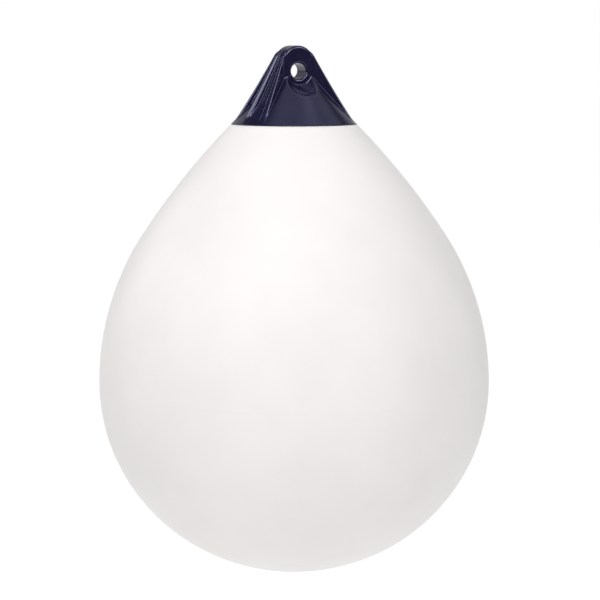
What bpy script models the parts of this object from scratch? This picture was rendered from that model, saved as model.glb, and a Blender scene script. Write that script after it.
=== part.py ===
"""Teardrop fender buoy with a solid moulded rope eye.

The frame has its origin at the centre of the rope eye, the bore along Y, the
lug's width along X and +Z up, because the fender hangs from that eye.
"""

import math

import bmesh
import bpy

# Body: an inflated teardrop, widest at its equator
BODY_RADIUS = 0.343
EQUATOR_DROP = 0.545
CROWN_DEPTH = 0.335
SHOULDER_RADIUS = 0.475
SHOULDER_SWEEP = math.radians(33.4)
BODY_SEGMENTS = 72
CROWN_STEPS = 16
SHOULDER_STEPS = 8
FLANK_STEPS = 6
PARTING_HEIGHT = 0.0004
PARTING_WIDTH = 0.0030

# Skirt of the head, and the neck of the body inside it
HEM_RADIUS = 0.1095
HEM_DROP = 0.092
SKIRT_PROUD = 0.0006
SKIRT_SLOPE = 0.95
SKIRT_WALL = 0.008
LIP_ROUND = 0.0007
NECK_TOP_DROP = 0.050
NECK_ROUND = 0.006
SEAT_GAP = 0.0003
HEAD_SEGMENTS = 72

# Rope eye: an upright lug with a round top, bored through for the rope
LUG_ARCH_RADIUS = 0.029
LUG_ARCH_RISE = 0.0150
LUG_THICKNESS = 0.0436
LUG_EDGE_ROUND = 0.0046
EYE_RADIUS = 0.0140
EYE_RIM_ROUND = 0.0043

# Pocket under the eye on each face: it widens outwards along an arc
POCKET_RADIUS = 0.0237
POCKET_ARC_RADIUS = 0.0775
POCKET_ARC_REACH = 0.0512
POCKET_INSET = 0.0005
POCKET_LENGTH = 0.0600

# Ribbed buttress on each narrow side of the lug
RIB_COUNT = 4
RIB_SPACING = math.radians(22.5)
RIB_HALF_WIDTH = math.radians(3.5)
CREST_TOP_RADIUS = 0.0356
CREST_TOP_RISE = 0.0258
CREST_SLOPE = 0.562
CREST_FOOT_FLARE = 0.0059
CREST_TOP_ROUND = 0.025
CREST_TOP_SWEEP = math.radians(84)
CREST_FOOT_DROP = 0.090
FLUTE_DEPTH_TOP = 0.0032
FLUTE_DEPTH_FOOT = 0.0090

# Inflation valve at the lower pole
RECESS_RADIUS = 0.024
RECESS_DEPTH = 0.007
RECESS_ROUND = 0.003
SEAT_FLANGE_RADIUS = 0.0170
SEAT_FLANGE_HEIGHT = 0.0030
SEAT_STEM_RADIUS = 0.0095
SEAT_STEM_LENGTH = 0.022
THREAD_RADIUS = 0.0050
THREAD_DEPTH = 0.017
THREAD_CLEARANCE = 0.0003
WASHER_RADIUS = 0.0078
WASHER_HEIGHT = 0.0015
SCREW_HEAD_RADIUS = 0.0075
SCREW_HEAD_HEIGHT = 0.0022
SCREW_SHANK_LENGTH = 0.0125
SLOT_WIDTH = 0.0018
SLOT_DEPTH = 0.0012
VALVE_SEGMENTS = 36

# Steps of the small curves
ROUND_STEPS = 4
ARCH_STEPS = 28
EYE_SEGMENTS = 48
POCKET_SEGMENTS = 64
POCKET_STEPS = 8
CREST_TOP_STEPS = 6
CREST_STEPS = 6


def remove_old_objects():
    for old in list(bpy.data.objects):
        bpy.data.objects.remove(old, do_unlink=True)


def material(name, colour, roughness, metallic=0.0):
    made = bpy.data.materials.new(name)
    made.use_nodes = True
    shader = made.node_tree.nodes["Principled BSDF"]
    shader.inputs["Base Color"].default_value = (*colour, 1.0)
    shader.inputs["Roughness"].default_value = roughness
    shader.inputs["Metallic"].default_value = metallic
    return made


def place(name, mesh_edit, finish=None):
    """Turn a bmesh into an object of its own, with its faces pointing out."""
    bmesh.ops.remove_doubles(mesh_edit, verts=mesh_edit.verts, dist=1e-7)
    bmesh.ops.recalc_face_normals(mesh_edit, faces=mesh_edit.faces)
    mesh = bpy.data.meshes.new(name)
    mesh_edit.to_mesh(mesh)
    mesh_edit.free()
    mesh.shade_smooth()
    mesh.set_sharp_from_angle(angle=math.radians(35))
    made = bpy.data.objects.new(name, mesh)
    bpy.context.scene.collection.objects.link(made)
    if finish:
        made.data.materials.append(finish)
    return made


def as_guide(made):
    """A form that only shapes another piece."""
    made.hide_render = True
    made.display_type = "WIRE"
    return made


def arc(centre_a, centre_b, radius, start, end, steps):
    """Points on an arc, angles measured from the first coordinate's axis."""
    points = []
    for step in range(steps + 1):
        angle = start + (end - start) * step / steps
        points.append((centre_a + radius * math.cos(angle), centre_b + radius * math.sin(angle)))
    return points


def turned(name, profile, segments, finish=None, along="Z"):
    """Revolve (radius, height) points about Z, or about Y for a bore."""
    edit = bmesh.new()
    if along == "Z":
        verts = [edit.verts.new((radius, 0.0, height)) for radius, height in profile]
        axis = (0, 0, 1)
    else:
        verts = [edit.verts.new((radius, height, 0.0)) for radius, height in profile]
        axis = (0, 1, 0)
    edges = [edit.edges.new(pair) for pair in zip(verts, verts[1:])]
    bmesh.ops.spin(
        edit,
        geom=verts + edges,
        cent=(0, 0, 0),
        axis=axis,
        angle=math.tau,
        steps=segments,
        use_merge=True,
    )
    bmesh.ops.remove_doubles(edit, verts=edit.verts, dist=1e-6)
    return place(name, edit, finish)


def combine(target, other, operation):
    """Union or difference with a guide, by the exact solver."""
    step = target.modifiers.new(other.name, "BOOLEAN")
    step.operation = operation
    step.solver = "EXACT"
    step.object = other
    return step


def shoulder_centre():
    return (BODY_RADIUS - SHOULDER_RADIUS, -EQUATOR_DROP)


def shoulder_end():
    centre_r, centre_z = shoulder_centre()
    return (
        centre_r + SHOULDER_RADIUS * math.cos(SHOULDER_SWEEP),
        centre_z + SHOULDER_RADIUS * math.sin(SHOULDER_SWEEP),
    )


def flank_profile():
    """Near-straight curve from just under the hem down to the shoulder's end.

    It is a quadratic curve that leaves the shoulder on the shoulder's tangent.
    """
    end_r, end_z = shoulder_end()
    reach = math.dist((end_r, end_z), (HEM_RADIUS, -HEM_DROP))
    handle_r = end_r - math.sin(SHOULDER_SWEEP) * reach / 2
    handle_z = end_z + math.cos(SHOULDER_SWEEP) * reach / 2
    lip = LIP_ROUND / reach
    points = []
    for step in range(FLANK_STEPS + 1):
        down = lip + (1.0 - lip) * step / FLANK_STEPS
        up = 1.0 - down
        points.append(
            (
                up**2 * HEM_RADIUS + 2 * up * down * handle_r + down**2 * end_r,
                -(up**2) * HEM_DROP + 2 * up * down * handle_z + down**2 * end_z,
            )
        )
    return points


def skirt_radius(height):
    """Outer radius of the conical skirt at a height."""
    return HEM_RADIUS + SKIRT_PROUD - SKIRT_SLOPE * (height + HEM_DROP)


def neck_radius(height):
    """Radius of the body's neck, one skirt wall inside the skirt."""
    return skirt_radius(height) - SKIRT_WALL


def crown_profile():
    """Lower half: a quarter ellipse from the equator down to the recess."""
    start = math.asin(RECESS_RADIUS / BODY_RADIUS)
    points = []
    for step in range(CROWN_STEPS + 1):
        angle = start + (math.pi / 2 - start) * step / CROWN_STEPS
        points.append(
            (BODY_RADIUS * math.sin(angle), -EQUATOR_DROP - CROWN_DEPTH * math.cos(angle))
        )
    return points[::-1]


def recess_floor():
    """Height of the flat floor of the valve's recess."""
    return crown_profile()[-1][1] + RECESS_DEPTH


def body_profile():
    """From the top of the neck down the outside to the valve's pocket."""
    neck_top = -NECK_TOP_DROP
    top_radius = neck_radius(neck_top)
    slope_angle = math.atan(SKIRT_SLOPE)
    turn = NECK_ROUND * math.tan((math.pi / 2 - slope_angle) / 2)
    profile = [(0.0, neck_top)]
    profile += arc(
        top_radius - turn,
        neck_top - NECK_ROUND,
        NECK_ROUND,
        math.pi / 2,
        slope_angle,
        ROUND_STEPS,
    )
    ledge = -HEM_DROP - SEAT_GAP
    profile.append((neck_radius(ledge), ledge))
    profile.append((HEM_RADIUS - LIP_ROUND, ledge))
    profile += flank_profile()
    centre_r, centre_z = shoulder_centre()
    parting_angle = PARTING_WIDTH / SHOULDER_RADIUS
    profile += arc(
        centre_r, centre_z, SHOULDER_RADIUS, SHOULDER_SWEEP, parting_angle, SHOULDER_STEPS
    )[1:]
    profile.append((BODY_RADIUS + PARTING_HEIGHT, -EQUATOR_DROP + PARTING_WIDTH / 4))
    profile.append((BODY_RADIUS + PARTING_HEIGHT, -EQUATOR_DROP - PARTING_WIDTH / 4))
    profile.append((BODY_RADIUS, -EQUATOR_DROP - PARTING_WIDTH))
    profile += crown_profile()[1:]
    floor = recess_floor()
    stem_pocket = SEAT_STEM_RADIUS + SEAT_GAP
    flange_pocket = SEAT_FLANGE_RADIUS + SEAT_GAP
    profile += arc(
        RECESS_RADIUS - RECESS_ROUND,
        floor - RECESS_ROUND,
        RECESS_ROUND,
        0.0,
        math.pi / 2,
        ROUND_STEPS,
    )
    profile.append((flange_pocket, floor))
    flange_floor = floor + SEAT_FLANGE_HEIGHT + SEAT_GAP
    profile.append((flange_pocket, flange_floor))
    profile.append((stem_pocket, flange_floor))
    profile.append((stem_pocket, floor + SEAT_STEM_LENGTH + SEAT_GAP))
    profile.append((0.0, floor + SEAT_STEM_LENGTH + SEAT_GAP))
    return profile


def make_body(finish):
    return turned("body", body_profile(), BODY_SEGMENTS, finish)


def skirt_profile():
    """Solid cone of the skirt, from inside the lug down to its rounded hem."""
    inside_lug = -POCKET_RADIUS / 4
    hem = -HEM_DROP
    slope_angle = math.atan(SKIRT_SLOPE)
    hem_outer = skirt_radius(hem)
    corner = LIP_ROUND * math.tan((math.pi / 2 + slope_angle) / 2)
    profile = [(0.0, inside_lug), (skirt_radius(inside_lug), inside_lug)]
    profile += arc(
        hem_outer - corner,
        hem + LIP_ROUND,
        LIP_ROUND,
        slope_angle,
        -math.pi / 2,
        ROUND_STEPS,
    )
    profile.append((0.0, hem))
    return profile


def neck_socket_profile():
    """What the neck fills inside the head, one seat gap larger all round."""
    slope_angle = math.atan(SKIRT_SLOPE)
    side_gap = SEAT_GAP / math.cos(slope_angle)
    socket_top = -NECK_TOP_DROP + SEAT_GAP
    top_radius = neck_radius(-NECK_TOP_DROP) + side_gap - SKIRT_SLOPE * SEAT_GAP
    turn = NECK_ROUND * math.tan((math.pi / 2 - slope_angle) / 2)
    profile = [(0.0, socket_top)]
    profile += arc(
        top_radius - turn,
        socket_top - NECK_ROUND,
        NECK_ROUND,
        math.pi / 2,
        slope_angle,
        ROUND_STEPS,
    )
    below_hem = -HEM_DROP - LIP_ROUND
    profile.append((neck_radius(below_hem) + side_gap, below_hem))
    profile.append((0.0, below_hem))
    return profile


def make_lug():
    """Arch-topped slab: its outline is drawn in XZ and extruded along Y."""
    foot = -NECK_TOP_DROP + LUG_EDGE_ROUND
    outline = arc(0.0, LUG_ARCH_RISE, LUG_ARCH_RADIUS, 0.0, math.pi, ARCH_STEPS)
    outline += [(-LUG_ARCH_RADIUS, foot), (LUG_ARCH_RADIUS, foot)]
    edit = bmesh.new()
    verts = [edit.verts.new((x, -LUG_THICKNESS / 2, z)) for x, z in outline]
    face = edit.faces.new(verts)
    pushed = bmesh.ops.extrude_face_region(edit, geom=[face])
    moved = [item for item in pushed["geom"] if isinstance(item, bmesh.types.BMVert)]
    bmesh.ops.translate(edit, verts=moved, vec=(0.0, LUG_THICKNESS, 0.0))
    rims = [
        edge
        for edge in edit.edges
        if abs(abs(edge.verts[0].co.y) - LUG_THICKNESS / 2) < 1e-6
        and abs(edge.verts[0].co.y - edge.verts[1].co.y) < 1e-6
        and max(edge.verts[0].co.z, edge.verts[1].co.z) > foot + LUG_EDGE_ROUND
    ]
    bmesh.ops.bevel(
        edit,
        geom=rims,
        offset=LUG_EDGE_ROUND,
        offset_type="OFFSET",
        segments=3,
        profile=0.5,
        affect="EDGES",
        clamp_overlap=False,
    )
    return place("lug_form", edit)


def make_bore():
    """Cutter for the rope's hole, flaring to a round rim at each face."""
    half = LUG_THICKNESS / 2
    rim = arc(
        EYE_RADIUS + EYE_RIM_ROUND,
        half - EYE_RIM_ROUND,
        EYE_RIM_ROUND,
        math.pi,
        math.radians(100),
        ROUND_STEPS,
    )
    outside = half + EYE_RIM_ROUND
    profile = [(0.0, outside), (rim[-1][0], outside)] + rim[::-1]
    profile += [(radius, -height) for radius, height in reversed(profile)]
    return turned("bore_cutter", profile, EYE_SEGMENTS, along="Y")


def make_pocket(side):
    """Round hollow in front of the lug's face, cut out of the skirt below the eye."""
    centre_radius = POCKET_RADIUS - math.sqrt(POCKET_ARC_RADIUS**2 - POCKET_ARC_REACH**2)
    start = math.atan2(POCKET_RADIUS - centre_radius, -POCKET_ARC_REACH)
    start += POCKET_INSET / POCKET_ARC_RADIUS
    end = math.acos((POCKET_LENGTH - POCKET_ARC_REACH) / POCKET_ARC_RADIUS)
    face = LUG_THICKNESS / 2
    wall = [
        (radius, side * (face + out))
        for out, radius in arc(
            POCKET_ARC_REACH, centre_radius, POCKET_ARC_RADIUS, start, end, POCKET_STEPS
        )
    ]
    profile = [(0.0, wall[0][1])] + wall + [(0.0, wall[-1][1])]
    name = "pocket_cutter_front" if side < 0 else "pocket_cutter_back"
    return turned(name, profile, POCKET_SEGMENTS, along="Y")


def crest_sections():
    """(height, crest radius, flute depth) from the top of the ribs to their foot."""
    slope_angle = math.atan(CREST_SLOPE)
    centre_r = CREST_TOP_RADIUS - CREST_TOP_ROUND * math.cos(slope_angle)
    centre_z = CREST_TOP_RISE - CREST_TOP_ROUND * math.sin(slope_angle)
    points = arc(
        centre_r, centre_z, CREST_TOP_ROUND, CREST_TOP_SWEEP, slope_angle, CREST_TOP_STEPS
    )
    span = CREST_TOP_RISE + CREST_FOOT_DROP
    for step in range(1, CREST_STEPS + 1):
        share = step / CREST_STEPS
        radius = CREST_TOP_RADIUS + CREST_SLOPE * span * share + CREST_FOOT_FLARE * share**2
        points.append((radius, CREST_TOP_RISE - span * share))
    sections = []
    for radius, height in points:
        share = max(0.0, (CREST_TOP_RISE - height) / span)
        depth = FLUTE_DEPTH_TOP + (FLUTE_DEPTH_FOOT - FLUTE_DEPTH_TOP) * share
        sections.append((height, radius, depth))
    return sections


def section_rays():
    """(angle, depth share) round one buttress: crests at 0, flute floors at 1."""
    rays = []
    first = -RIB_SPACING * (RIB_COUNT - 1) / 2
    for rib in range(RIB_COUNT):
        middle = first + rib * RIB_SPACING
        for share in (-1.0, -0.35, 0.35, 1.0):
            rays.append((middle + share * RIB_HALF_WIDTH, 0.0))
        if rib < RIB_COUNT - 1:
            floor_half = RIB_SPACING / 2 - RIB_HALF_WIDTH
            between = middle + RIB_SPACING / 2
            for share in (-0.92, -0.5, 0.0, 0.5, 0.92):
                rays.append((between + share * floor_half, 1.0))
    return rays


def make_buttress(side):
    """Fan of radial ribs, lofted through one toothed section at each height."""
    edit = bmesh.new()
    rings = []
    for height, crest, depth in crest_sections():
        ring = [edit.verts.new((0.0, 0.0, height))]
        for angle, share in section_rays():
            radius = crest - share * depth
            ring.append(
                edit.verts.new((side * radius * math.cos(angle), radius * math.sin(angle), height))
            )
        rings.append(ring)
    count = len(rings[0])
    for upper, lower in zip(rings, rings[1:]):
        for place_index in range(count):
            following = (place_index + 1) % count
            edit.faces.new(
                (upper[place_index], upper[following], lower[following], lower[place_index])
            )
    edit.faces.new(rings[0])
    edit.faces.new(rings[-1])
    return place("buttress_form_right" if side > 0 else "buttress_form_left", edit)


def make_head(finish):
    head = turned("rope_eye_head", skirt_profile(), HEAD_SEGMENTS, finish)
    for side in (-1, 1):
        combine(head, as_guide(make_pocket(side)), "DIFFERENCE")
    combine(head, as_guide(make_lug()), "UNION")
    for side in (-1, 1):
        combine(head, as_guide(make_buttress(side)), "UNION")
    combine(head, as_guide(make_bore()), "DIFFERENCE")
    socket = turned("neck_socket_cutter", neck_socket_profile(), HEAD_SEGMENTS)
    combine(head, as_guide(socket), "DIFFERENCE")
    return head


def make_valve_seat(finish):
    """Flanged insert with the blind hole that the screw closes."""
    face = recess_floor()
    flange_top = face + SEAT_FLANGE_HEIGHT
    stem_top = face + SEAT_STEM_LENGTH
    hole = THREAD_RADIUS + THREAD_CLEARANCE
    profile = [
        (0.0, stem_top),
        (SEAT_STEM_RADIUS, stem_top),
        (SEAT_STEM_RADIUS, flange_top),
        (SEAT_FLANGE_RADIUS, flange_top),
        (SEAT_FLANGE_RADIUS, face),
        (hole, face),
        (hole, face + THREAD_DEPTH),
        (0.0, face + THREAD_DEPTH),
    ]
    return turned("valve_seat", profile, VALVE_SEGMENTS, finish)


def make_sealing_washer(finish):
    """Flat rubber ring between the seat's face and the screw's head."""
    top = recess_floor() - SEAT_GAP
    bottom = top - WASHER_HEIGHT
    hole = THREAD_RADIUS + THREAD_CLEARANCE
    profile = [
        (hole, top),
        (WASHER_RADIUS, top),
        (WASHER_RADIUS, bottom),
        (hole, bottom),
        (hole, top),
    ]
    return turned("sealing_washer", profile, VALVE_SEGMENTS, finish)


def make_valve_screw(finish):
    """Cap screw with a coin slot across its head."""
    head_top = recess_floor() - WASHER_HEIGHT - 2 * SEAT_GAP
    head_bottom = head_top - SCREW_HEAD_HEIGHT
    shank_top = head_top + SCREW_SHANK_LENGTH
    shank = THREAD_RADIUS
    profile = [
        (0.0, shank_top),
        (shank, shank_top),
        (shank, head_top),
        (SCREW_HEAD_RADIUS, head_top),
        (SCREW_HEAD_RADIUS, head_bottom),
        (0.0, head_bottom),
    ]
    screw = turned("valve_screw", profile, VALVE_SEGMENTS, finish)
    edit = bmesh.new()
    bmesh.ops.create_cube(edit, size=1.0)
    bmesh.ops.scale(edit, vec=(3 * SCREW_HEAD_RADIUS, SLOT_WIDTH, 2 * SLOT_DEPTH), verts=edit.verts)
    bmesh.ops.translate(edit, vec=(0.0, 0.0, head_bottom), verts=edit.verts)
    combine(screw, as_guide(place("slot_cutter", edit)), "DIFFERENCE")
    return screw


def main():
    remove_old_objects()
    white_vinyl = material("white_soft_vinyl", (0.86, 0.86, 0.86), 0.35)
    navy_vinyl = material("navy_solid_vinyl", (0.017, 0.016, 0.036), 0.22)
    grey_nylon = material("grey_nylon", (0.30, 0.31, 0.33), 0.45)
    black_rubber = material("black_rubber", (0.012, 0.012, 0.012), 0.7)
    make_body(white_vinyl)
    make_head(navy_vinyl)
    make_valve_seat(navy_vinyl)
    make_sealing_washer(black_rubber)
    make_valve_screw(grey_nylon)


main()
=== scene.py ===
# %% [markdown]
# # A teardrop fender buoy
# The fender is two mouldings and a valve. A white bag of soft vinyl, blown full of air, is
# widest below its middle and runs up into a narrow shoulder. A solid navy moulding with a
# rope eye is welded on that shoulder. The valve sits in a small recess under the bag.
#
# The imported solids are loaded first. They fix where everything is, so each finer piece
# below is drawn in the same metres and simply takes the place of its solid.

import math

import bpy
import numpy as np
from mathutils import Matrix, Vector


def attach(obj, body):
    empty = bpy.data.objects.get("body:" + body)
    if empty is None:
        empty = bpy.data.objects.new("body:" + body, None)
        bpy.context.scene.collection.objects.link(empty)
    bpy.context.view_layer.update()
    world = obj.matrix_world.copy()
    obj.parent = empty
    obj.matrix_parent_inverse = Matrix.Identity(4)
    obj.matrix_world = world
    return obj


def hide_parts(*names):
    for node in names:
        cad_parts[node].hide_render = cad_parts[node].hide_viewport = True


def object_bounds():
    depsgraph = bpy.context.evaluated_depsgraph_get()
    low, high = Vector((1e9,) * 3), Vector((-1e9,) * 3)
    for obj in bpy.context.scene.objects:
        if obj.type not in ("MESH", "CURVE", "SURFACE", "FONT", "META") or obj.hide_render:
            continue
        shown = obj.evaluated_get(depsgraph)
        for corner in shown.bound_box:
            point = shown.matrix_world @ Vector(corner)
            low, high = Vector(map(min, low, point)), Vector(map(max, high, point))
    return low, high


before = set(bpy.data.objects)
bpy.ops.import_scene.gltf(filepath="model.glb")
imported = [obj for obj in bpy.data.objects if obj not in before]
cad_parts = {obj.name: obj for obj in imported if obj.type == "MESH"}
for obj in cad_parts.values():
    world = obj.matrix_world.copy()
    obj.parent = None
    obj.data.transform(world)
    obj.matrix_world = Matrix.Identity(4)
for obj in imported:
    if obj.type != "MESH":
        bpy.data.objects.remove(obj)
cad_low, cad_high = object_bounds()
print("solids:", sorted(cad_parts))
print("box in mm:", [round(1000 * (b - a), 1) for a, b in zip(cad_low, cad_high)])

# %% [markdown]
# ## Small tools
# Every material below is a handful of nodes, so one function adds a node, sets it and
# links it. A second turns an sRGB hex value, which is what a colour picker gives, into the
# linear numbers that the shader wants. A third turns arrays of points and faces into a
# piece that rides with its solid and stands in its place.

# %% Colours, nodes and pieces
MM = 0.001


def linear(hex_colour):
    """Linear colour of an sRGB hex value.

    Each channel over 255 is divided by 12.92 up to 0.04045, and above that it is
    ((channel + 0.055) / 1.055) to the power 2.4.
    """
    channels = [int(hex_colour[place : place + 2], 16) / 255 for place in (1, 3, 5)]
    return (
        *[c / 12.92 if c <= 0.04045 else ((c + 0.055) / 1.055) ** 2.4 for c in channels],
        1.0,
    )


def add_node(tree, kind, settings=None, links=None):
    """Add a node, set its sockets or options by name, and link other sockets into it."""
    node = tree.nodes.new(kind)
    sockets = {socket.name for socket in node.inputs}
    for name, value in (settings or {}).items():
        if isinstance(name, int) or name in sockets:
            node.inputs[name].default_value = value
        else:
            setattr(node, name, value)
    for name, source in (links or {}).items():
        tree.links.new(source, node.inputs[name])
    return node


def per_metre(size_mm):
    """Scale of a pattern whose cells are that many millimetres wide."""
    return 1000.0 / size_mm


def make_piece(name, points, faces, node, material, sharp_angle=None):
    """A smooth mesh of the points and faces that stands for a CAD node."""
    mesh = bpy.data.meshes.new(name)
    mesh.from_pydata(points.tolist(), [], faces)
    mesh.update()
    mesh.shade_smooth()
    if sharp_angle:
        mesh.set_sharp_from_angle(angle=math.radians(sharp_angle))
    piece = bpy.data.objects.new(name, mesh)
    bpy.context.scene.collection.objects.link(piece)
    mesh.materials.append(material)
    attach(piece, "root")
    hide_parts(node)
    spread = 1000 * (points.max(0) - points.min(0))
    print(name, len(points), "points,", np.round(spread, 1), "mm")
    return piece


# %% [markdown]
# ## The camera
# The picture is taken from about four metres off with a long lens, a little above the rope
# eye and slightly to the side of the bore, so that daylight shows through only part of it.

# %% Camera
VIEW_AZIMUTH = math.radians(-24.0)
VIEW_DISTANCE = 4.0
VIEW_RISE = 0.0617
VIEW_SHIFT = 0.0104
VIEW_PITCH = math.radians(6.6)
LENS_MM, SENSOR_MM = 137.3, 36.0

back = np.array([math.sin(VIEW_AZIMUTH), -math.cos(VIEW_AZIMUTH)])
right = np.array([math.cos(VIEW_AZIMUTH), math.sin(VIEW_AZIMUTH)])
across = VIEW_DISTANCE * back + VIEW_SHIFT * right
lens = bpy.data.cameras.new("studio_camera")
lens.lens = LENS_MM
lens.sensor_width = SENSOR_MM
lens.clip_end = 100.0
camera = bpy.data.objects.new("studio_camera", lens)
camera.location = (*across, VIEW_RISE)
camera.rotation_euler = (math.pi / 2 - VIEW_PITCH, 0.0, VIEW_AZIMUTH)
bpy.context.scene.collection.objects.link(camera)
bpy.context.scene.camera = camera
print("camera at", [round(v, 3) for v in camera.location])

# %% [markdown]
# ## The studio
# A white object on white needs even light, and only a little more from one side, or it
# looks like a flat disc. The world and an opal floor, lit from below like a product
# photographer's table, give the even part, and three soft boxes the rest.
#
# The head is glossy and almost black, so it shows nothing but what it reflects. What
# gloss sees of the room is therefore set apart: a dark room on the camera's side, a few
# soft panels that draw the thin bright lines along the ribs, and a white screen low
# behind. To the camera, world and floor are plain white, and the floor keeps the shadow.

# %% World
scene = bpy.context.scene
scene.view_settings.view_transform = "Standard"

EVEN_LIGHT = 0.47
DARK_ROOM = 0.05


def direction(azimuth, elevation):
    """Unit vector (sin a cos e, -cos a cos e, sin e); azimuth 0 is the side y < 0."""
    turn, rise = math.radians(azimuth), math.radians(elevation)
    return np.array([math.sin(turn) * math.cos(rise), -math.cos(turn) * math.cos(rise),
                     math.sin(rise)])


world = bpy.data.worlds.new("studio_world")
world.use_nodes = True
scene.world = world
tree = world.node_tree
tree.nodes.clear()
looking = add_node(tree, "ShaderNodeTexCoord").outputs["Generated"]


def panel(sum_so_far, azimuth, elevation, inner, outer, level):
    """Add a round panel: its level within the inner angle, fading to 0 at the outer."""
    facing = add_node(tree, "ShaderNodeVectorMath",
                      {"operation": "DOT_PRODUCT", 1: direction(azimuth, elevation)},
                      {0: looking})
    fade = add_node(tree, "ShaderNodeMapRange",
                    {"interpolation_type": "SMOOTHSTEP",
                     "From Min": math.cos(math.radians(outer)),
                     "From Max": math.cos(math.radians(inner)), "To Max": level},
                    {"Value": facing.outputs["Value"]})
    return add_node(tree, "ShaderNodeMath", {"operation": "ADD"},
                    {0: sum_so_far, 1: fade.outputs["Result"]}).outputs[0]


# Azimuth, elevation, inner and outer angle in degrees, and level
PANELS = (
    (-92, 31, 5, 17, 6.5),
    (30, 34, 6, 22, 4.0),
    (-60, 20, 4, 15, 6.5),
    (-140, 20, 4, 17, 6.5),
    (-26, 46, 6, 20, 7.0),
    (0, 90, 14, 31, 0.38),
    (104, 60, 8, 28, 0.34),
    (90, 6, 6, 24, 0.8),
    (140, -4, 6, 20, 0.9),
    (160, -10, 46, 62, 0.34),
)
seen = add_node(tree, "ShaderNodeValue").outputs[0]
seen.default_value = DARK_ROOM
for one in PANELS:
    seen = panel(seen, *one)

path = add_node(tree, "ShaderNodeLightPath")
shine = add_node(tree, "ShaderNodeMath", {"operation": "MAXIMUM"},
                 {0: path.outputs["Is Glossy Ray"], 1: path.outputs["Is Transmission Ray"]})
even_or_shine = add_node(tree, "ShaderNodeMix", {2: EVEN_LIGHT},
                         {0: shine.outputs[0], 3: seen})
level = add_node(tree, "ShaderNodeMix", {3: 1.0},
                 {0: path.outputs["Is Camera Ray"], 2: even_or_shine.outputs[0]})
backdrop = add_node(tree, "ShaderNodeBackground", {"Color": (1.0, 1.0, 1.0, 1.0)},
                    {"Strength": level.outputs[0]})
add_node(tree, "ShaderNodeOutputWorld", {}, {"Surface": backdrop.outputs[0]})
print("even light", EVEN_LIGHT, "and", len(PANELS), "panels for gloss")

# %% Floor
FLOOR_HALF, FLOOR_GAP = 30.0, 0.0002
TABLE_LIGHT, TABLE_GLOW, TABLE_GREY = 0.91, 0.86, 0.32
DARK_FROM, DARK_BEYOND = 0.6, 2.4

floor_mesh = bpy.data.meshes.new("studio_floor")
floor_level = cad_low[2] - FLOOR_GAP
corners = FLOOR_HALF * np.array([(-1, -1), (1, -1), (1, 1), (-1, 1)])
floor_mesh.from_pydata([(x, y, floor_level) for x, y in corners], [], [(0, 1, 2, 3)])
floor = bpy.data.objects.new("studio_floor", floor_mesh)
scene.collection.objects.link(floor)

opal = bpy.data.materials.new("opal_light_table")
opal.use_nodes = True
tree = opal.node_tree
tree.nodes.clear()
table = add_node(tree, "ShaderNodeEmission", {"Strength": TABLE_LIGHT})
shaded = add_node(tree, "ShaderNodeBsdfDiffuse",
                  {"Color": (TABLE_GREY, TABLE_GREY, TABLE_GREY, 1.0)})
glow = add_node(tree, "ShaderNodeEmission", {"Strength": TABLE_GLOW})
shown = add_node(tree, "ShaderNodeAddShader", {}, {0: shaded.outputs[0], 1: glow.outputs[0]})
# In gloss the floor is white too, but runs out into the dark room on the camera's side
place = add_node(tree, "ShaderNodeTexCoord")
toward_room = add_node(tree, "ShaderNodeVectorMath", {"operation": "DOT_PRODUCT",
                       1: (back[0], back[1], 0.0)}, {0: place.outputs["Object"]})
into_dark = add_node(tree, "ShaderNodeMapRange",
                     {"interpolation_type": "SMOOTHSTEP", "From Min": DARK_FROM,
                      "From Max": DARK_BEYOND, "To Min": 1.0, "To Max": DARK_ROOM},
                     {"Value": toward_room.outputs["Value"]})
mirrored = add_node(tree, "ShaderNodeEmission", {}, {"Strength": into_dark.outputs[0]})
path = add_node(tree, "ShaderNodeLightPath")
shine = add_node(tree, "ShaderNodeMath", {"operation": "MAXIMUM"},
                 {0: path.outputs["Is Glossy Ray"], 1: path.outputs["Is Transmission Ray"]})
lit_or_mirrored = add_node(tree, "ShaderNodeMixShader", {},
                           {0: shine.outputs[0], 1: table.outputs[0], 2: mirrored.outputs[0]})
either = add_node(tree, "ShaderNodeMixShader", {},
                  {0: path.outputs["Is Camera Ray"], 1: lit_or_mirrored.outputs[0],
                   2: shown.outputs[0]})
add_node(tree, "ShaderNodeOutputMaterial", {}, {"Surface": either.outputs[0]})
floor_mesh.materials.append(opal)
print("floor at", round(1000 * floor_level, 1), "mm")


# %% Soft boxes
BODY_MIDDLE = np.array([0.0, 0.0, -0.42])


def soft_box(name, azimuth, elevation, distance, size, power):
    """Square lamp on a sphere round the fender's middle, turned to face it."""
    lamp = bpy.data.lights.new(name, "AREA")
    lamp.shape = "SQUARE"
    lamp.size = size
    lamp.energy = power
    holder = bpy.data.objects.new(name, lamp)
    holder.location = BODY_MIDDLE + distance * direction(azimuth, elevation)
    holder.rotation_euler = (math.pi / 2 - math.radians(elevation), 0.0, math.radians(azimuth))
    holder.visible_camera = False
    holder.visible_glossy = False
    scene.collection.objects.link(holder)
    print(name, "radiance about", round(power / (math.pi * size**2), 2))


soft_box("key_box", -30, 45, 3.0, 2.6, 47.0)
soft_box("side_box", -114, 30, 3.2, 1.4, 3.5)
soft_box("top_box", 120, 84, 2.6, 1.6, 6.0)

# %% [markdown]
# ## White soft vinyl
# The bag is plasticised vinyl, rotomoulded in a polished metal mould. It is white right
# through and has a soft gloss. Under air pressure the skin is taut, so it has no folds:
# only a very slight unevenness of the wall, a faint orange peel from the mould, and gloss
# that varies a little where it was handled. Three noises at those real sizes give that.


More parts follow.
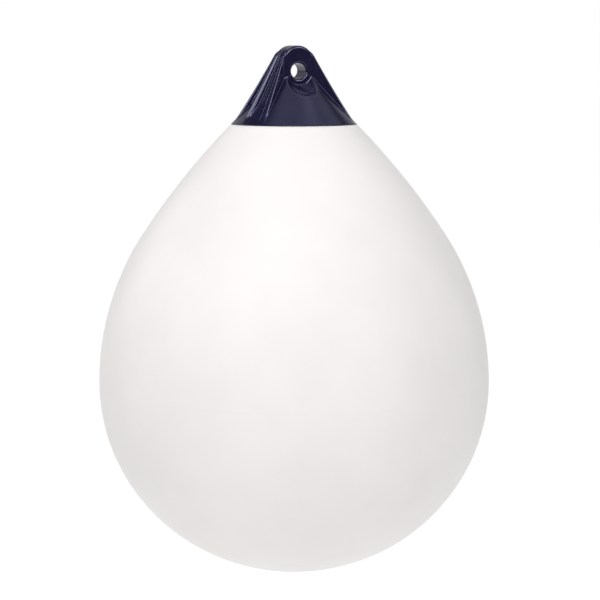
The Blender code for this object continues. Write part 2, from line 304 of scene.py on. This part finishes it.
# %% Body finish
def white_soft_vinyl():
    """Plasticised vinyl, moulded: white, a little soft in its gloss, faintly uneven."""
    made = bpy.data.materials.new("white_soft_vinyl")
    made.use_nodes = True
    tree = made.node_tree
    shader = tree.nodes["Principled BSDF"]
    shader.inputs["IOR"].default_value = 1.53
    shader.inputs["Specular IOR Level"].default_value = 0.2
    where = add_node(tree, "ShaderNodeTexCoord").outputs["Object"]
    # Wall thickness drifts over about 140 mm, which tints the white by a hair
    drift = add_node(tree, "ShaderNodeTexNoise", {"Scale": per_metre(140), "Detail": 3.0},
                     {"Vector": where})
    tint = add_node(tree, "ShaderNodeValToRGB", {}, {"Fac": drift.outputs["Fac"]})
    tint.color_ramp.elements[0].position = 0.35
    tint.color_ramp.elements[0].color = linear("#F2EFEE")
    tint.color_ramp.elements[1].position = 0.65
    tint.color_ramp.elements[1].color = linear("#F6F3F2")
    tree.links.new(tint.outputs["Color"], shader.inputs["Base Color"])
    # Handling dulls the gloss in patches of about 45 mm
    patches = add_node(tree, "ShaderNodeTexNoise", {"Scale": per_metre(45), "Detail": 4.0},
                       {"Vector": where})
    gloss = add_node(tree, "ShaderNodeMapRange", {"To Min": 0.40, "To Max": 0.52},
                     {"Value": patches.outputs["Fac"]})
    tree.links.new(gloss.outputs["Result"], shader.inputs["Roughness"])
    # Orange peel of the mould, 3 mm across and a few hundredths deep
    peel = add_node(tree, "ShaderNodeTexNoise", {"Scale": per_metre(3.0), "Detail": 2.0},
                    {"Vector": where})
    skin = add_node(tree, "ShaderNodeBump", {"Strength": 0.35, "Distance": 0.04 * MM},
                    {"Height": peel.outputs["Fac"]})
    tree.links.new(skin.outputs["Normal"], shader.inputs["Normal"])
    return made


body_vinyl = white_soft_vinyl()
print("made", body_vinyl.name)

# %% [markdown]
# ## Navy solid vinyl
# The head is one thick moulding, coloured navy right through and shiny as it leaves the
# mould. So dark a plastic shows almost only what it reflects: the rounded edges of the ribs
# pick up the panels as thin bright lines. Flow in the mould leaves the gloss slightly
# streaky. In the bore, the pockets and the flutes the reflection is turned down, which is
# painted shade: Ambient Occlusion tells how much of the room a point sees, so it tells
# hollow from open.


# %% Head finish
# Painted shade: how far Ambient Occlusion looks, and how far the specular level falls in
# hollows
HOLLOW_REACH = 60.0
HOLLOW_BELOW, OPEN_ABOVE, HOLLOW_SHADE_LEVEL = 0.42, 0.95, 0.4


def navy_solid_vinyl():
    """Solid moulded vinyl: near-black navy, a strong, slightly uneven gloss, painted shade in
    hollows.
    """
    made = bpy.data.materials.new("navy_solid_vinyl")
    made.use_nodes = True
    tree = made.node_tree
    shader = tree.nodes["Principled BSDF"]
    shader.inputs["IOR"].default_value = 1.53
    shader.inputs["Specular Tint"].default_value = linear("#CFD1FF")
    where = add_node(tree, "ShaderNodeTexCoord").outputs["Object"]
    # Painted shade: the specular level rises with how much of the room a point sees, so hollows
    # darken
    openness = add_node(tree, "ShaderNodeAmbientOcclusion",
                        {"samples": 8, "Distance": HOLLOW_REACH * MM})
    painted_hollow_shade = add_node(tree, "ShaderNodeMapRange",
                          {"From Min": HOLLOW_BELOW, "From Max": OPEN_ABOVE,
                           "To Min": HOLLOW_SHADE_LEVEL, "To Max": 1.0},
                          {"Value": openness.outputs["AO"]})
    tree.links.new(painted_hollow_shade.outputs["Result"], shader.inputs["Specular IOR Level"])
    # Pigment is even to the eye, with a slow drift over about 35 mm
    drift = add_node(tree, "ShaderNodeTexNoise", {"Scale": per_metre(35), "Detail": 3.0},
                     {"Vector": where})
    tint = add_node(tree, "ShaderNodeValToRGB", {}, {"Fac": drift.outputs["Fac"]})
    tint.color_ramp.elements[0].position = 0.35
    tint.color_ramp.elements[0].color = linear("#17142C")
    tint.color_ramp.elements[1].position = 0.65
    tint.color_ramp.elements[1].color = linear("#1C1A36")
    tree.links.new(tint.outputs["Color"], shader.inputs["Base Color"])
    # Flow marks run up the moulding: noise cells 6 mm wide, drawn out four times in Z
    stretch = add_node(tree, "ShaderNodeMapping", {"Scale": (1.0, 1.0, 0.25)},
                       {"Vector": where})
    flow = add_node(tree, "ShaderNodeTexNoise", {"Scale": per_metre(6), "Detail": 4.0},
                    {"Vector": stretch.outputs["Vector"]})
    gloss = add_node(tree, "ShaderNodeMapRange", {"To Min": 0.11, "To Max": 0.21},
                     {"Value": flow.outputs["Fac"]})
    tree.links.new(gloss.outputs["Result"], shader.inputs["Roughness"])
    # Faint moulded texture, 1.5 mm across
    grain = add_node(tree, "ShaderNodeTexNoise", {"Scale": per_metre(1.5), "Detail": 2.0},
                     {"Vector": where})
    skin = add_node(tree, "ShaderNodeBump", {"Strength": 0.3, "Distance": 0.006 * MM},
                    {"Height": grain.outputs["Fac"]})
    tree.links.new(skin.outputs["Normal"], shader.inputs["Normal"])
    return made


head_vinyl = navy_solid_vinyl()
print("made", head_vinyl.name)

# %% [markdown]
# ## Nylon and rubber
# The valve's screw is moulded nylon, a slightly waxy grey, and it seals on a ring of black
# rubber, which is duller and has a fine matt grain.


# %% Valve finishes
def small_part_finish(name, colour, low_gloss, high_gloss, grain_mm, depth_mm):
    """A moulded finish whose gloss and grain vary over a few grains' width."""
    made = bpy.data.materials.new(name)
    made.use_nodes = True
    tree = made.node_tree
    shader = tree.nodes["Principled BSDF"]
    shader.inputs["Base Color"].default_value = linear(colour)
    where = add_node(tree, "ShaderNodeTexCoord").outputs["Object"]
    grain = add_node(tree, "ShaderNodeTexNoise", {"Scale": per_metre(grain_mm), "Detail": 3.0},
                     {"Vector": where})
    gloss = add_node(tree, "ShaderNodeMapRange", {"To Min": low_gloss, "To Max": high_gloss},
                     {"Value": grain.outputs["Fac"]})
    tree.links.new(gloss.outputs["Result"], shader.inputs["Roughness"])
    skin = add_node(tree, "ShaderNodeBump", {"Strength": 0.4, "Distance": depth_mm * MM},
                    {"Height": grain.outputs["Fac"]})
    tree.links.new(skin.outputs["Normal"], shader.inputs["Normal"])
    return made


grey_nylon = small_part_finish("grey_moulded_nylon", "#9A9DA1", 0.34, 0.46, 0.8, 0.01)
black_rubber = small_part_finish("black_moulded_rubber", "#1B1B1C", 0.62, 0.78, 0.4, 0.02)
print("made", grey_nylon.name, "and", black_rubber.name)

# %% [markdown]
# ## Turned pieces
# The bag and the valve's seat are round about the upright axis, so each is one outline
# swept round that axis. The washer is round as well, but it is drawn as a field. A Screw
# modifier would do the same. A grid of points worked out at once is as short, and it closes
# the poles without doubled points. The outline is built from arcs that leave each other on
# a common tangent, as a pattern maker draws it.


# %% Outline helpers
def arc(centre_r, centre_z, radius, start, end, steps):
    """Points centre + radius * (cos, sin) of angles spread evenly from start to end."""
    angle = np.linspace(start, end, steps + 1)
    return np.column_stack([centre_r + radius * np.cos(angle),
                            centre_z + radius * np.sin(angle)])


def turned_grid(outline, columns):
    """Points and faces of an (r, z) outline, from pole to pole, swept round Z.

    Point (row, column) is (r cos a, r sin a, z), with r and z the outline's row and a the
    column's share of a full turn. The first and last rows are single points on the axis.
    """
    turn = np.linspace(0.0, 2 * np.pi, columns, endpoint=False)
    r, z = outline[1:-1].T
    rings = np.stack([np.outer(r, np.cos(turn)), np.outer(r, np.sin(turn)),
                      np.repeat(z[:, None], columns, axis=1)], axis=2).reshape(-1, 3)
    top = [[0.0, 0.0, outline[0, 1]]]
    foot = [[0.0, 0.0, outline[-1, 1]]]
    points = np.vstack([rings, top, foot])
    rows = len(r)
    here = np.arange(rows * columns).reshape(rows, columns)
    after = np.roll(here, -1, axis=1)
    quads = np.stack([here[:-1], here[1:], after[1:], after[:-1]], axis=2).reshape(-1, 4)
    top_fan = np.stack([np.full(columns, rows * columns), here[0], after[0]], axis=1)
    foot_fan = np.stack([np.full(columns, rows * columns + 1), after[-1], here[-1]], axis=1)
    return points, quads.tolist() + top_fan.tolist() + foot_fan.tolist()


# %% [markdown]
# ## The bag
# Its lower half is a quarter ellipse, its shoulder an arc, and its flank almost straight up
# to the head's hem. At the equator the mould's two halves met, and that left a ridge three
# millimetres wide and under a fifth of a millimetre high, which shows as a hairline. Out of
# sight, the neck runs on up inside the head, and the pole has the valve's recess.

# %% Outline of the bag, in millimetres
BODY_RADIUS, EQUATOR_DROP, CROWN_DEPTH = 343.0, 545.0, 335.0
SHOULDER_RADIUS, SHOULDER_SWEEP = 475.0, math.radians(33.4)
HEM_RADIUS, HEM_DROP, LIP_ROUND = 109.5, 92.0, 0.7
SKIRT_PROUD, SKIRT_SLOPE, SKIRT_WALL = 0.6, 0.95, 8.0
NECK_TOP_DROP, NECK_ROUND, SEAT_GAP = 50.0, 6.0, 0.3
RIDGE_HEIGHT, RIDGE_WIDTH = 0.16, 3.0
RECESS_RADIUS, RECESS_DEPTH, RECESS_ROUND = 24.0, 7.0, 3.0
FLANGE_RADIUS, FLANGE_HEIGHT = 17.0, 3.0
STEM_RADIUS, STEM_LENGTH = 9.5, 22.0
BAG_COLUMNS, SEAT_COLUMNS = 288, 128

skirt_angle = math.atan(SKIRT_SLOPE)


def skirt_radius(z):
    """The head's skirt is a cone: hem radius less the slope times the height above it."""
    return HEM_RADIUS + SKIRT_PROUD - SKIRT_SLOPE * (z + HEM_DROP)


def neck_outline():
    """Flat top of the neck, its rounded corner, and its cone down to the ledge."""
    top = -NECK_TOP_DROP
    corner_r = skirt_radius(top) - SKIRT_WALL - NECK_ROUND * math.tan(
        (math.pi / 2 - skirt_angle) / 2)
    ledge = -HEM_DROP - SEAT_GAP
    return np.vstack([
        [(0.0, top)],
        arc(corner_r, top - NECK_ROUND, NECK_ROUND, math.pi / 2, skirt_angle, 8),
        [(skirt_radius(ledge) - SKIRT_WALL, ledge), (HEM_RADIUS - LIP_ROUND, ledge)],
    ])


def flank_outline(steps):
    """Quadratic curve from the hem to the shoulder: u^2 H + 2 u d C + d^2 S.

    d runs from 0 at the hem H to 1 at the shoulder's end S, u is 1 - d, and the handle C
    lies on the shoulder's tangent, half the distance HS away from S.
    """
    end = np.array([BODY_RADIUS - SHOULDER_RADIUS + SHOULDER_RADIUS * math.cos(SHOULDER_SWEEP),
                    -EQUATOR_DROP + SHOULDER_RADIUS * math.sin(SHOULDER_SWEEP)])
    hem = np.array([HEM_RADIUS, -HEM_DROP])
    reach = np.linalg.norm(end - hem)
    handle = end + reach / 2 * np.array([-math.sin(SHOULDER_SWEEP), math.cos(SHOULDER_SWEEP)])
    down = np.linspace(LIP_ROUND / reach, 1.0, steps + 1)[:, None]
    return (1 - down) ** 2 * hem + 2 * (1 - down) * down * handle + down**2 * end


def ridge_outline():
    """Parting ridge: a raised cosine of the distance from the equator."""
    along = np.linspace(RIDGE_WIDTH / 2, -RIDGE_WIDTH / 2, 9)
    proud = RIDGE_HEIGHT * (0.5 + 0.5 * np.cos(2 * np.pi * along / RIDGE_WIDTH))
    return np.column_stack([BODY_RADIUS + proud, -EQUATOR_DROP + along])


def crown_outline(steps):
    """Quarter ellipse: (R sin a, -equator - depth cos a), a from a right angle down."""
    foot = math.asin(RECESS_RADIUS / BODY_RADIUS)
    angle = np.linspace(math.pi / 2 - RIDGE_WIDTH / CROWN_DEPTH, foot, steps + 1)
    return np.column_stack([BODY_RADIUS * np.sin(angle),
                            -EQUATOR_DROP - CROWN_DEPTH * np.cos(angle)])


# The shoulder stops a little above the ridge, so that no two points lie too close
ridge_clear = 1.2 * RIDGE_WIDTH
shoulder = arc(BODY_RADIUS - SHOULDER_RADIUS, -EQUATOR_DROP, SHOULDER_RADIUS,
               SHOULDER_SWEEP, ridge_clear / SHOULDER_RADIUS, 48)
crown = crown_outline(64)
recess_floor = crown[-1, 1] + RECESS_DEPTH
pocket_floor = recess_floor + FLANGE_HEIGHT + SEAT_GAP
pocket_end = recess_floor + STEM_LENGTH + SEAT_GAP
recess = np.vstack([
    arc(RECESS_RADIUS - RECESS_ROUND, recess_floor - RECESS_ROUND, RECESS_ROUND,
        0.0, math.pi / 2, 8),
    [(FLANGE_RADIUS + SEAT_GAP, recess_floor), (FLANGE_RADIUS + SEAT_GAP, pocket_floor),
     (STEM_RADIUS + SEAT_GAP, pocket_floor), (STEM_RADIUS + SEAT_GAP, pocket_end),
     (0.0, pocket_end)],
])
body_outline = np.vstack([neck_outline(), flank_outline(40), shoulder[1:], ridge_outline(),
                          crown, recess])
points, faces = turned_grid(body_outline * MM, BAG_COLUMNS)
bag = make_piece("inflated_bag", points, faces, "body", body_vinyl, 40)

# %% [markdown]
# ## The head as one field
# The head is a cone, an arched lug, eight ribs and a pocket under each face of the eye, all
# run into each other with small rounded corners, as a mould maker's cutter leaves them. Joining
# separate meshes with Booleans and beveling every seam would be fragile here, because the
# ribs meet the cone at almost no angle. So each simple form is written as a distance: how
# far a point is outside it, negative inside. Joining and cutting with a radius is then one
# line each, and every corner comes out rounded.


# %% Joining and cutting with rounded corners
def joined(a, b, radius):
    """Union of two distances, with a fillet in the corner between them.

    It is max(radius, min(a, b)) less the length of (radius - a, radius - b), each part
    taken as 0 where it is negative.
    """
    near_a, near_b = np.maximum(radius - a, 0), np.maximum(radius - b, 0)
    return np.maximum(radius, np.minimum(a, b)) - np.hypot(near_a, near_b)


def common(a, b, radius):
    """What lies in both forms, with the edge between them rounded."""
    return -joined(-a, -b, radius)


# %% The head's simple forms, in millimetres
ARCH_RADIUS, ARCH_RISE, LUG_HALF, LUG_ROUND, LUG_FOOT = 29.0, 15.0, 21.8, 4.6, 60.0
EYE_RADIUS, EYE_ROUND = 14.0, 4.3
POCKET_RADIUS, POCKET_ARC, POCKET_REACH = 23.7, 77.5, 51.2
RIB_ANGLES = (math.radians(11.25), math.radians(33.75))
RIB_HALF, RIB_EDGE = math.radians(3.5), 0.022
CREST_RADIUS, CREST_RISE, CREST_SLOPE, CREST_ROUND = 35.6, 25.8, 0.562, 25.0
CREST_FLARE, CREST_FOOT = 5.9, 90.0
FLUTE_TOP, FLUTE_FOOT = 3.2, 9.0
POCKET_ROUND, JOIN_ROUND, FLUTE_ROUND = 3.5, 1.6, 1.2
crest_angle = math.atan(CREST_SLOPE)


def cone(r, z, inset=0.0):
    """(r - the skirt's radius at z) times the cosine of its slope, plus an inset."""
    return (r - skirt_radius(z)) * math.cos(skirt_angle) + inset


def lug(x, y, z):
    """Slab |y| < half its thickness, cut to an arch: a circle above a straight strip."""
    arch = np.where(z > ARCH_RISE, np.hypot(x, z - ARCH_RISE), np.abs(x)) - ARCH_RADIUS
    return np.maximum(common(arch, np.abs(y) - LUG_HALF, LUG_ROUND), -LUG_FOOT - z)


def pocket(x, y, z):
    """Hollow in front of the lug's face, round about the bore and wider outwards.

    Its wall is an arc in (distance out, distance from the bore's axis): that arc's radius
    less the distance to its centre, which lies beyond the axis.
    """
    out = np.abs(y) - LUG_HALF
    centre = POCKET_RADIUS - math.sqrt(POCKET_ARC**2 - POCKET_REACH**2)
    return np.maximum(np.hypot(out - POCKET_REACH, np.hypot(x, z) - centre) - POCKET_ARC, -out)


def crest(r, z):
    """Distance from the ribs' back: a slope that flares, closed above by a round top.

    At a height d below the top the back is at radius + slope * d + flare * (d / span)^2,
    and dividing by the length of (1, local slope) makes that a distance.
    """
    centre_r = CREST_RADIUS - CREST_ROUND * math.cos(crest_angle)
    centre_z = CREST_RISE - CREST_ROUND * math.sin(crest_angle)
    span = CREST_RISE + CREST_FOOT
    down = CREST_RISE - z
    flare = CREST_FLARE * np.clip(down / span, 0, None)
    back_r = CREST_RADIUS + CREST_SLOPE * down + flare * down / span
    slope = (r - back_r) / np.hypot(1.0, CREST_SLOPE + 2 * flare / span)
    above = np.arctan2(z - centre_z, r - centre_r) > crest_angle
    return np.where(above, np.hypot(r - centre_r, z - centre_z) - CREST_ROUND, slope)


def buttresses(x, y, z):
    """Four radial wedges on each side, over a floor that lies deeper towards the foot.

    A wedge is r sin(|angle from its middle| - half width), and its back is the crest.
    """
    r = np.hypot(x, y)
    turn = np.arctan2(np.abs(y), np.abs(x))
    back_of_rib = crest(r, z)
    share = np.clip((CREST_RISE - z) / (CREST_RISE + CREST_FOOT), 0.0, 1.0)
    floor_depth = (FLUTE_TOP + (FLUTE_FOOT - FLUTE_TOP) * share) * math.cos(crest_angle)
    made = np.maximum(back_of_rib + floor_depth, r * np.sin(turn - RIB_ANGLES[1]))
    for middle in RIB_ANGLES:
        wedge = r * np.sin(np.abs(turn - middle) - RIB_HALF)
        made = joined(made, common(back_of_rib, wedge, RIB_EDGE * r), FLUTE_ROUND)
    return made


def head_field(x, y, z):
    """Cone less pockets, joined to lug and ribs, then cut by hem, bore and neck."""
    r = np.hypot(x, y)
    made = common(np.maximum(cone(r, z), z + POCKET_RADIUS / 4), -pocket(x, y, z), POCKET_ROUND)
    made = joined(made, lug(x, y, z), JOIN_ROUND)
    made = joined(made, buttresses(x, y, z), JOIN_ROUND)
    made = common(made, -HEM_DROP - z, LIP_ROUND)
    made = common(made, EYE_RADIUS - np.hypot(x, z), EYE_ROUND)
    neck_side = cone(r, z, (SKIRT_WALL - SEAT_GAP) * math.cos(skirt_angle))
    neck = common(neck_side, z + NECK_TOP_DROP - SEAT_GAP, NECK_ROUND)
    return np.maximum(made, -neck)


print("field at the bore's centre:", round(float(head_field(0.0, 0.0, 0.0)), 2), "mm")

# %% [markdown]
# ## From a field to a skin
# The skin is where the field is zero. It is found on a lattice of small cells: each cell
# that the skin passes through gets one point, the average of where the skin crosses the
# cell's edges, and each crossed edge gets one face between the four cells round it. The
# points are then moved along the field's slope until they lie on the skin. Marching cubes
# would do too, but it leaves thin slivers that catch the light.
#
# The ribs' edges want a lattice finer than a millimetre, and the smooth slopes and the
# hidden socket don't. Decimate collapses what is flat, and the socket most of all. The
# shading normals come last, straight from the field, so the thinning doesn't show.


# %% Skin of a field
def field_slope(field, points, step=0.02):
    """Slope of the field at each point, by central differences."""
    slope = np.empty_like(points)
    for axis in range(3):
        ahead, behind = points.copy(), points.copy()
        ahead[:, axis] += step
        behind[:, axis] -= step
        slope[:, axis] = (field(*ahead.T) - field(*behind.T)) / (2 * step)
    return slope


def skin_of(field, low, high, cell):
    """Points and four-sided faces of field = 0 inside a box, on a lattice of cells."""
    lines = [np.arange(a - 2 * cell, b + 3 * cell, cell) for a, b in zip(low, high)]
    value = field(*np.meshgrid(*lines, indexing="ij"))
    inside = value < 0
    count = np.array(value.shape) - 1
    total = int(np.prod(count))
    sums, hits, loops = np.zeros((total, 3)), np.zeros(total), []
    for axis in range(3):
        a, b = (axis + 1) % 3, (axis + 2) % 3
        first, second = [slice(None)] * 3, [slice(None)] * 3
        first[axis], second[axis] = slice(0, -1), slice(1, None)
        crossed = inside[tuple(first)] != inside[tuple(second)]
        place = np.argwhere(crossed)
        start, end = value[tuple(first)][crossed], value[tuple(second)][crossed]
        where = place.astype(float)
        where[:, axis] += start / (start - end)
        corners = []
        for step_a, step_b in ((0, 0), (1, 0), (1, 1), (0, 1)):
            cell_at = place.copy()
            cell_at[:, a] -= step_a
            cell_at[:, b] -= step_b
            index = np.ravel_multi_index(tuple(cell_at.T), tuple(count))
            for part in range(3):
                sums[:, part] += np.bincount(index, where[:, part], total)
            hits += np.bincount(index, minlength=total)
            corners.append(index)
        quad = np.stack(corners, axis=1)
        leaving = start < 0
        quad[~leaving] = quad[~leaving][:, ::-1]
        loops.append(quad)
    used = np.flatnonzero(hits)
    number = np.full(total, -1)
    number[used] = np.arange(len(used))
    origin = np.array([line[0] for line in lines])
    points = origin + cell * sums[used] / hits[used, None]
    for _ in range(5):
        slope = field_slope(field, points)
        pull = field(*points.T) / np.maximum((slope**2).sum(1), 0.1)
        move = slope * pull[:, None]
        length = np.linalg.norm(move, axis=1, keepdims=True)
        points -= move * np.minimum(1.0, 0.5 * cell / np.maximum(length, 1e-9))
    return points, number[np.vstack(loops)]


def thin_out(piece, hidden, share):
    """Collapse flat faces first, and most of the hidden ones, to a share of them all."""
    group = piece.vertex_groups.new(name="may_collapse")
    group.add(np.flatnonzero(~hidden).tolist(), 0.5, "REPLACE")
    group.add(np.flatnonzero(hidden).tolist(), 1.0, "REPLACE")
    fewer = piece.modifiers.new("fewer_faces", "DECIMATE")
    fewer.vertex_group = group.name
    fewer.ratio = share
    bpy.context.view_layer.objects.active = piece
    bpy.ops.object.modifier_apply(modifier=fewer.name)
    piece.vertex_groups.clear()
    print(piece.name, "thinned to", len(piece.data.polygons), "faces")


def set_normals(piece, field):
    """Shade by the field's own slope, which is exact at every point of the skin."""
    points = np.empty(3 * len(piece.data.vertices))
    piece.data.vertices.foreach_get("co", points)
    slope = field_slope(field, points.reshape(-1, 3) / MM)
    slope /= np.linalg.norm(slope, axis=1, keepdims=True)
    piece.data.normals_split_custom_set_from_vertices(slope.tolist())


# %% Head
HEAD_CELL, HEAD_SHARE = 0.95, 0.47

reach = HEM_RADIUS + 2
points, quads = skin_of(head_field, (-reach, -reach, -HEM_DROP),
                        (reach, reach, ARCH_RISE + ARCH_RADIUS), HEAD_CELL)
head = make_piece("rope_eye_moulding", points * MM, quads.tolist(), "rope_eye_head",
                  head_vinyl)
side, height = np.hypot(points[:, 0], points[:, 1]), points[:, 2]
in_socket = (side < skirt_radius(height) - SKIRT_WALL / 2) & (height < 1 - NECK_TOP_DROP)
thin_out(head, in_socket, HEAD_SHARE)
set_normals(head, head_field)

# %% [markdown]
# ## The valve
# The seat and the washer are turned shapes again. The screw has a coin slot and a real
# thread, so it is a field too: the thread is a cylinder whose radius rises and falls with
# the angle round it plus the height over the pitch.

# %% Seat and washer
SCREW_THREAD, THREAD_PITCH, THREAD_CLEARANCE = 5.0, 1.5, 0.3
THREAD_HOLE = 17.0
WASHER_RADIUS, WASHER_HEIGHT, WASHER_CELL = 7.8, 1.5, 0.25
edge = 0.35

seat_outline = np.vstack([
    [(0.0, recess_floor + STEM_LENGTH)],
    arc(STEM_RADIUS - edge, recess_floor + STEM_LENGTH - edge, edge, math.pi / 2, 0.0, 4),
    [(STEM_RADIUS, recess_floor + FLANGE_HEIGHT)],
    arc(FLANGE_RADIUS - edge, recess_floor + FLANGE_HEIGHT - edge, edge, math.pi / 2, 0.0, 4),
    arc(FLANGE_RADIUS - edge, recess_floor + edge, edge, 0.0, -math.pi / 2, 4),
    arc(SCREW_THREAD + THREAD_CLEARANCE + edge, recess_floor + edge, edge,
        -math.pi / 2, -math.pi, 4),
    [(SCREW_THREAD + THREAD_CLEARANCE, recess_floor + THREAD_HOLE),
     (0.0, recess_floor + THREAD_HOLE)],
])
points, faces = turned_grid(seat_outline * MM, SEAT_COLUMNS)
seat = make_piece("valve_insert", points, faces, "valve_seat", head_vinyl, 40)


def washer_field(x, y, z):
    """Flat ring: between its two radii and its two faces, with rounded edges."""
    r = np.hypot(x, y)
    middle = recess_floor - SEAT_GAP - WASHER_HEIGHT / 2
    side = common(r - WASHER_RADIUS, SCREW_THREAD + THREAD_CLEARANCE - r, 0.1)
    return common(side, np.abs(z - middle) - WASHER_HEIGHT / 2, 0.35)


washer_top = recess_floor - SEAT_GAP
points, quads = skin_of(washer_field, (-8, -8, washer_top - WASHER_HEIGHT),
                        (8, 8, washer_top), WASHER_CELL)
washer = make_piece("rubber_washer", points * MM, quads.tolist(), "sealing_washer",
                    black_rubber)
set_normals(washer, washer_field)

# %% Screw
SCREW_HEAD_RADIUS, SCREW_HEAD_HEIGHT, SHANK_LENGTH = 7.5, 2.2, 12.5
SLOT_WIDTH, SLOT_DEPTH = 1.8, 1.2
THREAD_HALF_DEPTH, SCREW_CELL = 0.35, 0.2
screw_top = recess_floor - WASHER_HEIGHT - 2 * SEAT_GAP
screw_foot = screw_top - SCREW_HEAD_HEIGHT


def screw_field(x, y, z):
    """Head and threaded shank joined, less the coin slot across the head."""
    r = np.hypot(x, y)
    rim = common(r - SCREW_HEAD_RADIUS, np.abs(z - (screw_top + screw_foot) / 2)
                 - SCREW_HEAD_HEIGHT / 2, 0.5)
    wave = np.cos(np.arctan2(y, x) - 2 * np.pi * (z - screw_top) / THREAD_PITCH)
    shank = common(r - SCREW_THREAD + THREAD_HALF_DEPTH * (1.0 - wave),
                   z - screw_top - SHANK_LENGTH, 0.4)
    shank = np.maximum(shank * 0.8, screw_top - 0.5 - z)
    slot = np.maximum(np.abs(y) - SLOT_WIDTH / 2, z - screw_foot - SLOT_DEPTH)
    return common(joined(rim, shank, 0.2), -slot, 0.2)


points, quads = skin_of(screw_field, (-8, -8, screw_foot),
                        (8, 8, screw_top + SHANK_LENGTH), SCREW_CELL)
screw = make_piece("valve_cap_screw", points * MM, quads.tolist(), "valve_screw",
                   grey_nylon)
set_normals(screw, screw_field)
